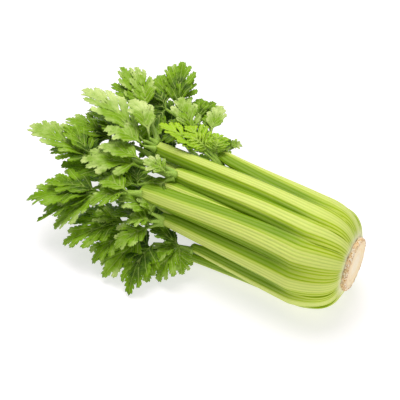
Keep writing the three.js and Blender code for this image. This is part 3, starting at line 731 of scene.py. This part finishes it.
def stalk_section(spec, along, first, seed):
    """One cross-section of a stalk: points in millimetres and the numbers stored on them."""
    end = spec["end"][0]
    y, z, radius = stalk_line(spec, along)
    before = stalk_line(spec, along - 1)
    after = stalk_line(spec, along + 1)
    tangent = unit(np.array([-2, after[0] - before[0], after[1] - before[1]]))
    far = (along - THICKEST_AT) / (end - THICKEST_AT)
    angle = radians(mix(spec["angle"], spec["end_angle"], ease(far)))
    radial = np.array([0, sin(angle), cos(angle)])
    out = unit(radial - tangent * radial.dot(tangent))
    side = np.cross(tangent, out)
    lean = max(out.dot(radial), LEAST_LEAN)
    rounder = ease((along - ROUNDER_FROM) / (end - ROUNDER_FROM)) * ROUNDEST
    bend = mix(lean / radius, 1 / END_ROUNDNESS, rounder)
    wide, thick, roll, ribbed = section_sizes(spec, along, first, radius, far)

    ribs = spec["ribs"]
    f = np.linspace(-1, 1, ribs * RIB_POINTS + 1)
    turn = f * wide / 2 * bend
    sideways = np.sin(turn) / bend
    shoulder = np.maximum(np.abs(f) - SHOULDER, 0) / (1 - SHOULDER)
    drop = (1 - np.cos(turn)) / bend + roll * shoulder ** CREASE
    slope = np.arctan2(np.gradient(drop), np.gradient(sideways))
    normal = np.outer(np.cos(slope), out) + np.outer(np.sin(slope), side)
    wander = RIB_WANDER * noise.noise(Vector((along * WANDER_PACE, seed, 0.0)))
    crest = np.abs(np.sin(pi * (ribs * (f + 1) / 2 + wander * (1 - f ** 2)))) ** 0.7
    uneven = np.array([noise.noise(Vector((along * UNEVEN_PACE, v * UNEVEN_ACROSS, seed + 4.0)))
                       for v in f])
    height = crest * sizes().rib_height / MM * (1 + uneven * 0.8)
    middle = place((along, y, z))
    outer = (middle + np.outer(sideways, side) - np.outer(drop, out)
             + normal * ((height + uneven * UNEVEN_RISE) * ribbed)[:, None])

    g = np.linspace(1, -1, INNER_POINTS)
    under = thick + (drop[-1] + MARGIN_THICK * thick - thick) * g ** 2
    inner = middle + np.outer(sideways[-1] * INNER_WIDTH * g, side) - np.outer(under, out)
    steps = np.arange(1, SIDE_POINTS + 1) / (SIDE_POINTS + 1)
    puff = np.sin(steps * pi) * thick * SIDE_PUFF
    right = outer[-1] + np.outer(steps, inner[0] - outer[-1]) + np.outer(puff, side)
    left = inner[-1] + np.outer(steps, outer[0] - inner[-1]) - np.outer(puff, side)
    points = np.vstack([outer, right, inner, left])
    follow = 1 - ease((along - COLLAR) / YAW_OVER)
    points[:, 0] -= (points[:, 1] - ORIGIN[1] - CUT_ACROSS) * sin(CUT_YAW) * follow
    points[:, 2] = np.maximum(points[:, 2], ORIGIN[2] + TABLE_GAP)

    flank = [0.35] * SIDE_POINTS
    rib = np.concatenate([crest, flank, [0.5] * INNER_POINTS, flank])
    across = np.concatenate([f, 1 + steps * 0.3, g, -1 - steps * 0.3])
    inner_mark = np.concatenate([f * 0, steps * 0.6, [1] * INNER_POINTS, 0.6 - steps * 0.6])
    return points, rib, across, inner_mark


def station(step, steps, first, end):
    """Where a cross-section stands: they crowd at the foot and at the far end."""
    t = step / (steps - 1)
    crowded = 1 - (1 - t) ** 1.5 if t > 0.9 else t
    return mix(first, end, mix(t ** 1.4, crowded, ease((t - 0.85) / 0.15)))


def build_stalk(spec, first, seed, skin):
    """One stalk as a closed ribbed sweep."""
    patch = Patch()
    steps = sizes().stations
    rows = []
    reach = 0.0
    last = np.array([first, *stalk_line(spec, first)[:2]])
    for step in range(steps):
        along = station(step, steps, first, spec["end"][0])
        here = np.array([along, *stalk_line(spec, along)[:2]])
        reach += norm(here - last)
        last = here
        section = stalk_section(spec, along, first, seed)
        rows.append((*section, np.full(len(section[0]), reach / PAINT_LENGTH)))
    rings, ribs, acrosses, inners, alongs = zip(*rows)
    caps = [rings[0].mean(axis=0), rings[-1].mean(axis=0) - np.array([0.8, 0, 0])]
    patch.add(np.vstack([*rings, caps]), tube_faces(steps, len(rings[0])),
              along=chain(alongs, 0, reach / PAINT_LENGTH), across=chain(acrosses, 0, 0),
              rib=chain(ribs, 0.5, 0.5), inner=chain(inners, 1, 0.3), tone=seed * 0.37 % 1)
    patch.build(spec["name"] + "_skin", [skin], spec["name"])


# ---- leaves ----
def lobe_width(t):
    """Half width of a lobe along it, as a share of its widest place."""
    if t < LOBE_WIDEST:
        return mix(LOBE_FOOT, 1.0, (t / LOBE_WIDEST) ** 1.2)
    return sqrt(1 - ((t - LOBE_WIDEST) / 0.45) ** 2)


def lobe_outline(foot, tip, half_width, teeth, rng):
    """Closed outline of a lobe: a wedge with forward-pointing teeth round its outer part."""
    axis = tip - foot
    across = np.array([-axis[1], axis[0]]) / norm(axis)
    plain = TOOTH_START * 0.6
    pitch = (TOOTH_END - TOOTH_START) / teeth
    edges = []
    for _ in ("ahead", "behind"):
        run = [(0.0, LOBE_FOOT), (plain, lobe_width(plain))]
        for step in range(teeth):
            start = TOOTH_START + pitch * step
            end = start + pitch * rng.uniform(0.86, 1.06)
            full = lobe_width(min(end, TOOTH_END + 0.03))
            belly = lobe_width(mix(start, end, 0.5))
            run += [(mix(start, end, 0.35), belly), (mix(start, end, 0.78), belly * 1.16),
                    (end + 0.03, full * rng.uniform(1.16, 1.32)),
                    (end + 0.014, full * rng.uniform(0.74, 0.84))]
        edges.append([foot + axis * t + across * w * half_width for t, w in run])
        across = -across
    return np.array(edges[0] + [tip] + edges[1][::-1])


def inside(polygon, samples):
    """Which samples are inside the polygon, and how far each is from its edge."""
    after = np.roll(polygon, -1, axis=0)
    x, y = samples[:, 0:1], samples[:, 1:2]
    spans = (polygon[:, 1] > y) != (after[:, 1] > y)
    run, rise = (after - polygon).T
    rise = np.where(np.abs(rise) < 1e-9, 1e-9, rise)
    cross = polygon[:, 0] + (y - polygon[:, 1]) * run / rise
    within = (spans & (x < cross)).sum(axis=1) % 2 == 1
    return within, line_gap(polygon, after, samples)


def line_gap(first, second, samples):
    """Distance of each sample from the nearest of the segments."""
    edge = second - first
    rel = samples[:, None, :] - first[None]
    t = np.clip((rel * edge).sum(-1) / np.maximum((edge ** 2).sum(-1), 1e-12), 0, 1)
    return norm(rel - t[..., None] * edge, axis=-1).min(axis=1)


def blade_plan(kind, rng):
    """Flat blade: points in blade lengths, triangles and each point's distance from a vein."""
    veins = [(np.array([0.0, 0.0]), np.array([VEIN_END, 0.0]))]
    web = WEBS[kind]
    polygons = [np.array([*web, *((u, -w) for u, w in web[::-1])])]
    for foot, along, across, half_width, teeth in LOBES[kind]:
        for sign in (1, -1) if across else (1,):
            start = np.array([foot, 0.0])
            jitter = rng.uniform(-0.025, 0.025) if across else 0.0
            end = np.array([along + jitter, across * sign * rng.uniform(0.9, 1.08)])
            polygons.append(lobe_outline(start, end, half_width, teeth, rng))
            if across:
                veins.append((start, mix(start, end, 0.93)))
    points, edges = [], []
    for polygon in polygons:
        base = len(points)
        points.extend(polygon)
        edges.extend((base + i, base + (i + 1) % len(polygon)) for i in range(len(polygon)))
    for start, end in veins:
        base = len(points)
        count = max(int(norm(end - start) / LATTICE), 3)
        points.extend(mix(start, end, k / count) for k in range(count + 1))
        edges.extend((base + k, base + k + 1) for k in range(count))
    rows = int(WIDEST_HALF / LATTICE)
    grid = np.array([((i + 0.5 * (j % 2)) * LATTICE, j * LATTICE * 0.9)
                     for j in range(-rows, rows + 1) for i in range(int(1 / LATTICE))])
    tests = [inside(polygon, grid) for polygon in polygons]
    kept = np.any([within for within, _ in tests], axis=0)
    kept &= np.min([gap for _, gap in tests], axis=0) > LATTICE * 0.3
    points.extend(grid[kept])
    result = delaunay_2d_cdt([Vector(p) for p in points], edges, [], 0, 1e-5, False)
    plan = np.array([tuple(p) for p in result[0]])
    faces = [tuple(face) for face in result[2]]
    middles = np.array([plan[list(face)].mean(axis=0) for face in faces])
    within = np.any([inside(polygon, middles)[0] for polygon in polygons], axis=0)
    faces = [face for face, keep in zip(faces, within) if keep]
    used = sorted({i for face in faces for i in face})
    renumber = {old: new for new, old in enumerate(used)}
    faces = [tuple(renumber[i] for i in face) for face in faces]
    plan = plan[used]
    gap = line_gap(np.array([v[0] for v in veins]), np.array([v[1] for v in veins]), plan)
    return plan, faces, gap


def boundary_of(faces):
    """Directed edges that only one face uses."""
    seen = set()
    for face in faces:
        seen.update((a, face[(i + 1) % len(face)]) for i, a in enumerate(face))
    return [(a, b) for a, b in seen if (b, a) not in seen]


MIDRIB = 0.9  # radius of a midrib at its start, the same at the heart, and at its tip
MIDRIB_YOUNG = 0.5
MIDRIB_TIP = 0.2
MIDRIB_STEPS = 10
STEM = 1.5  # radius of a leaf stem at its fork, and how much thicker its foot is
STEM_YOUNG = 1.1
STEM_SWELL = 2.6
STEM_BOW = 0.05  # how far a stem bows up, as a share of its length
BLADE_GAP = 0.4  # least height of a blade above the table
MIDRIB_GAP = 1.0


def build_blade(patch, base, spec, seed, thickness, quilt):
    """One toothed, veined blade bent along its midrib, closed, with its raised midrib."""
    rng = random.Random(seed)
    kind = spec["kind"]
    plan, faces, gap = blade_plan(kind, rng)
    tip = place(spec["tip"])
    length = norm(tip - base)
    ahead = unit(tip - base)
    level = unit(UP - ahead * UP.dot(ahead))
    turn = radians(rng.uniform(-14, 14))
    face = level * cos(turn) + np.cross(ahead, level) * sin(turn)
    side = np.cross(ahead, face)
    widen = spec["width"] / 2 / (HALF_WIDTH[kind] * length)
    u = plan[:, 0]
    v = plan[:, 1]
    reach = v * widen * length
    ratio = np.abs(v) / HALF_WIDTH[kind]
    curl = rng.uniform(0.04, 0.15)
    sway = rng.uniform(-0.07, 0.07)
    ripple = rng.uniform(0.5, 1.1) * spec["width"] * 0.04
    cup = rng.uniform(0.05, 0.16)
    phase = rng.uniform(0, 6.28)

    def middle_lift(t):
        return 4 * spec["arch"] * t * (1 - t) + curl * length * t * (0.33 - 0.6 * t ** 2)

    lift = middle_lift(u) + spec["width"] * (ratio * 0.16 - ratio ** 2 * cup)
    lift = lift + ripple * ratio * np.sin(u * 15 + phase + np.sign(v) * 1.3)
    billow = np.array([noise.noise(Vector((a * 5, b * 5, seed * 1.7))) for a, b in plan])
    lift = lift + billow * spec["width"] * 0.07
    lift = lift + quilt * np.minimum(gap / 0.05, 1)
    swing = sway * length * u * (1 - u) * 2
    points = (base + np.outer(u * length, ahead) + np.outer(reach + swing, side)
              + np.outer(lift, face))
    points[:, 2] = np.maximum(points[:, 2], ORIGIN[2] + BLADE_GAP)
    tri = np.array(faces)
    normals = np.zeros_like(points)
    cross = np.cross(points[tri[:, 1]] - points[tri[:, 0]], points[tri[:, 2]] - points[tri[:, 0]])
    for corner in range(3):
        np.add.at(normals, tri[:, corner], cross)
    normals /= np.maximum(norm(normals, axis=1), 1e-9)[:, None]
    if normals.mean(axis=0).dot(face) < 0:
        normals = -normals
        faces = [tuple(reversed(f)) for f in faces]
    top = points + normals * thickness / 2
    bottom = points - normals * thickness / 2
    count = len(points)
    shell = list(faces) + [tuple(reversed([i + count for i in f])) for f in faces]
    shell += [(b, a, a + count, b + count) for a, b in boundary_of(faces)]
    patch.add(np.vstack([top, bottom]), shell, along=np.tile(u, 2), across=np.tile(v, 2),
              rib=np.tile(gap * length, 2), under=np.repeat([0.0, 1.0], count),
              tone=spec["tone"] + rng.uniform(-0.1, 0.1))
    t = np.linspace(-0.03, 0.90, MIDRIB_STEPS)
    line = (base + np.outer(t * length, ahead) + np.outer(sway * length * t * (1 - t) * 2, side)
            + np.outer(middle_lift(t) - 0.3, face))
    line[:, 2] = np.maximum(line[:, 2], ORIGIN[2] + MIDRIB_GAP)
    start = MIDRIB_YOUNG if kind == "frond" else MIDRIB
    build_tube(patch, line, np.linspace(start, MIDRIB_TIP, MIDRIB_STEPS), face, 6, 1)


def build_tube(patch, line, radii, up, sides, slot):
    """A round stem through the points, closed at both ends."""
    rings = []
    for i, middle in enumerate(line):
        ahead = unit(line[min(i + 1, len(line) - 1)] - line[max(i - 1, 0)])
        side = unit(np.cross(ahead, up))
        rise = np.cross(side, ahead)
        a = np.linspace(0, 2 * pi, sides, endpoint=False)
        rings.append(middle + np.outer(np.cos(a), side) * radii[i]
                     + np.outer(np.sin(a), rise) * radii[i])
    count = len(line)
    across = np.tile(np.linspace(0, 1, sides, endpoint=False), count)
    along = np.repeat(np.linspace(0, 1, count), sides)
    patch.add(np.vstack([*rings, [line[0], line[-1]]]),
              [tuple(reversed(f)) for f in tube_faces(count, sides)], slot,
              across=chain([across], 0, 0), along=chain([along], 0, 1))


def build_sprig(spec, seed, leaf, stem):
    """A leaf stem and its blades as one piece."""
    patch = Patch()
    foot = place(spec["foot"])
    fork = place(spec["fork"])
    thin = STEM_YOUNG if spec["young"] else STEM
    rng = random.Random(seed * 31 + 5)
    t = np.linspace(0, 1, 9)
    bow = norm(fork - foot) * STEM_BOW
    line = foot + np.outer(t, fork - foot)
    line[:, 2] += np.sin(t * pi) * bow
    line[:, 1] += np.sin(t * pi) * bow * rng.uniform(-0.6, 0.6)
    build_tube(patch, line, thin + STEM_SWELL * (1 - t) ** 2.2, UP, 10, 1)
    thickness = sizes().leaf_thickness / MM
    quilt = sizes().quilting / MM
    for index, each in enumerate(spec["blades"]):
        build_blade(patch, fork, each, seed * 17 + index, thickness, quilt)
    patch.build(spec["name"] + "_blade", [leaf, stem], spec["name"])


# ---- root base ----
# From the middle of the cut face over its rim to the tip of the dome: share of the root's
# radius, and distance behind the cut face.
ROOT_PROFILE = [
    (0.0, 0.6), (0.25, 0.5), (0.5, 0.7), (0.68, 0.4), (0.82, 0.3), (0.90, 0.0), (0.95, 0.2),
    (0.985, 0.9), (1.0, 2.0), (1.0, 3.4), (0.98, 4.8), (0.90, 6.2), (0.72, 8.5), (0.56, 14.0),
    (0.34, 20.0), (0.12, 24.0), (0.0, 25.0)]
ROOT_SIDES = 240
ROOT_STEPS = 4
GRAIN = ((1.0, 0.4), (3.1, 0.45), (7.3, 0.4))  # fineness and strength of the roughness
ROOT_LOBES = 11  # the rim bulges a little at each outer stalk
LOBE_RISE = 0.012
RIM_ROUGH = 0.05  # roughness of the rim sideways, and of the face and the rim in depth
FACE_DEEP = 0.30
RIM_DEEP = 1.5


def build_root(skin):
    """The trimmed root: a shallow-ringed cut face, a ragged rim and a blunt dome behind it."""
    profile = [(mix(r0, r1, k / ROOT_STEPS), mix(x0, x1, k / ROOT_STEPS))
               for (r0, x0), (r1, x1) in zip(ROOT_PROFILE, ROOT_PROFILE[1:])
               for k in range(ROOT_STEPS)][1:]
    yaw = np.array([[cos(CUT_YAW), -sin(CUT_YAW), 0],
                    [sin(CUT_YAW), cos(CUT_YAW), 0], [0, 0, 1]])
    centre = place((0, CUT_ACROSS, AXIS_HEIGHT))
    rings, reach, rims = [], [], []
    for radius, depth in profile:
        edge = ease((radius - 0.8) / 0.14) * ease((9 - depth) / 3)
        ring = []
        for i in range(ROOT_SIDES):
            a = 2 * pi * i / ROOT_SIDES
            probe = Vector((cos(a) * radius * 4, sin(a) * radius * 4, depth * 0.3))
            rough = sum(noise.noise(probe * fine) * strong for fine, strong in GRAIN)
            lobes = LOBE_RISE * cos(ROOT_LOBES * a + 0.6) * edge
            r = CUT_RADIUS * (radius * (1 + lobes) + rough * RIM_ROUGH * edge)
            x = depth + rough * mix(FACE_DEEP, RIM_DEEP, edge)
            ring.append(centre + yaw @ np.array([-x, cos(a) * r, sin(a) * r]))
        rings.append(np.array(ring))
        reach.append(np.full(ROOT_SIDES, radius))
        rims.append(np.full(ROOT_SIDES, ease((radius - 0.84) / 0.10) * ease((12 - depth) / 4)))
    ends = [centre + yaw @ np.array([-depth, 0, 0])
            for _, depth in (ROOT_PROFILE[0], ROOT_PROFILE[-1])]
    faces = [tuple(reversed(face)) for face in tube_faces(len(rings), ROOT_SIDES)]
    patch = Patch()
    patch.add(np.vstack([*rings, ends]), faces, across=chain(reach, 0, 0), rib=chain(rims, 0, 0))
    patch.build("root_base_cut", [skin], "root_base")


# ---- operators ----
class CELERY_OT_root(bpy.types.Operator):
    """Builds the trimmed root base"""

    bl_idname = "celery.root"
    bl_label = "Root base"

    def execute(self, context):
        build_root(root_skin())
        return {"FINISHED"}


class CELERY_OT_stalks(bpy.types.Operator):
    """Builds the outer, middle and heart stalks"""

    bl_idname = "celery.stalks"
    bl_label = "Stalks"

    def execute(self, context):
        skin = stalk_skin()
        seed = 1
        for group, first, slot in ((OUTER, OUTER_FROM, "stalk"), (MIDDLE, MIDDLE_FROM, "stalk"),
                                   (HEART, HEART_FROM, "heart_stalk")):
            for spec in group:
                build_stalk(spec, first, seed, skin)
                seed += 1
        return {"FINISHED"}


class CELERY_OT_leaves(bpy.types.Operator):
    """Builds the leaf sprigs"""

    bl_idname = "celery.leaves"
    bl_label = "Leaves"

    def execute(self, context):
        grown = leaf_skin("celery_leaf", False)
        young = leaf_skin("celery_young_leaf", True)
        stem = stem_skin()
        for index, spec in enumerate(SPRIGS):
            build_sprig(spec, index + 1, young if spec["young"] else grown, stem)
        return {"FINISHED"}


VIEW_AZIMUTH = radians(35)
VIEW_ELEVATION = radians(44)
VIEW_DISTANCE = 1030
VIEW_LENS = 100
SENSOR = 36
CUT_CENTRE_SHIFT = (0.39, -0.1625)  # where the cut face sits in the frame, in frame widths
FLOOR_REACH = 6.0
SKY = 0.32
# name, place, size and power of a lamp, and its colour
LAMPS = [("key", (-0.35, 0.25, 1.5), 1.1, 23.0, (1.0, 0.99, 0.97)),
         ("fill", (1.4, -0.7, 0.5), 1.2, 6.0, (1.0, 0.99, 0.98))]
AIM = Vector((0, 0, 0.04))  # the lamps point at the middle of the bunch


class CELERY_OT_stage(bpy.types.Operator):
    """Sets the floor, the lights and the camera"""

    bl_idname = "celery.stage"
    bl_label = "Stage"

    def execute(self, context):
        scene = context.scene
        mesh = bpy.data.meshes.new("floor")
        corners = [(x * FLOOR_REACH, y * FLOOR_REACH, 0)
                   for x, y in ((-1, -1), (1, -1), (1, 1), (-1, 1))]
        mesh.from_pydata(corners, [], [(0, 1, 2, 3)])
        mesh.materials.append(floor_paint())
        floor = put("floor", mesh)
        back = np.array([sin(VIEW_AZIMUTH) * cos(VIEW_ELEVATION),
                         -cos(VIEW_AZIMUTH) * cos(VIEW_ELEVATION),
                         sin(VIEW_ELEVATION)])
        right = np.array([cos(VIEW_AZIMUTH), sin(VIEW_AZIMUTH), 0])
        up = np.cross(back, right)
        spread = VIEW_DISTANCE * SENSOR / VIEW_LENS
        cut = place((0, CUT_ACROSS, AXIS_HEIGHT))
        eye = (cut + back * VIEW_DISTANCE - right * CUT_CENTRE_SHIFT[0] * spread
               - up * CUT_CENTRE_SHIFT[1] * spread) * MM
        data = bpy.data.cameras.new("camera")
        data.lens = VIEW_LENS
        data.sensor_width = SENSOR
        scene.camera = put("camera", data)
        self.point(scene.camera, eye, -back)
        for name, where, size, power, tint in LAMPS:
            data = bpy.data.lights.new(name, "AREA")
            data.size = size
            data.energy = power
            data.color = tint
            self.point(put(name, data), where, AIM - Vector(where))
        world = bpy.data.worlds.new("studio")
        world.use_nodes = True
        sky = world.node_tree.nodes["Background"].inputs
        sky["Color"].default_value = (1, 1, 1, 1)
        sky["Strength"].default_value = SKY
        scene.world = world
        scene.view_settings.view_transform = "Standard"
        return {"FINISHED"}

    @staticmethod
    def point(piece, where, ahead):
        """Sets a camera or lamp at a place, looking ahead."""
        piece.location = where
        piece.rotation_euler = Vector(ahead).to_track_quat("-Z", "Y").to_euler()


class CELERY_PT_panel(bpy.types.Panel):
    """Buttons that build the head of celery"""

    bl_label = "Head of celery"
    bl_space_type = "VIEW_3D"
    bl_region_type = "UI"
    bl_category = "Celery"

    def draw(self, context):
        layout = self.layout
        for settings in (sizes(), colours()):
            for name in type(settings).__annotations__:
                layout.prop(settings, name)
        for operator in ("celery.root", "celery.stalks", "celery.leaves", "celery.stage"):
            layout.operator(operator)


CLASSES = (CelerySizes, CeleryColours, CELERY_OT_root, CELERY_OT_stalks, CELERY_OT_leaves,
           CELERY_OT_stage, CELERY_PT_panel)


def register():
    """Registers the classes and the settings."""
    for each in CLASSES:
        bpy.utils.register_class(each)
    bpy.types.Scene.celery_sizes = PointerProperty(type=CelerySizes)
    bpy.types.Scene.celery_colours = PointerProperty(type=CeleryColours)


def unregister():
    """Removes the settings and the classes."""
    del bpy.types.Scene.celery_colours
    del bpy.types.Scene.celery_sizes
    for each in reversed(CLASSES):
        bpy.utils.unregister_class(each)


def main():
    """Builds everything in order."""
    register()
    bpy.ops.celery.stage()
    bpy.ops.celery.root()
    bpy.ops.celery.stalks()
    bpy.ops.celery.leaves()


if __name__ == "__main__":
    main()
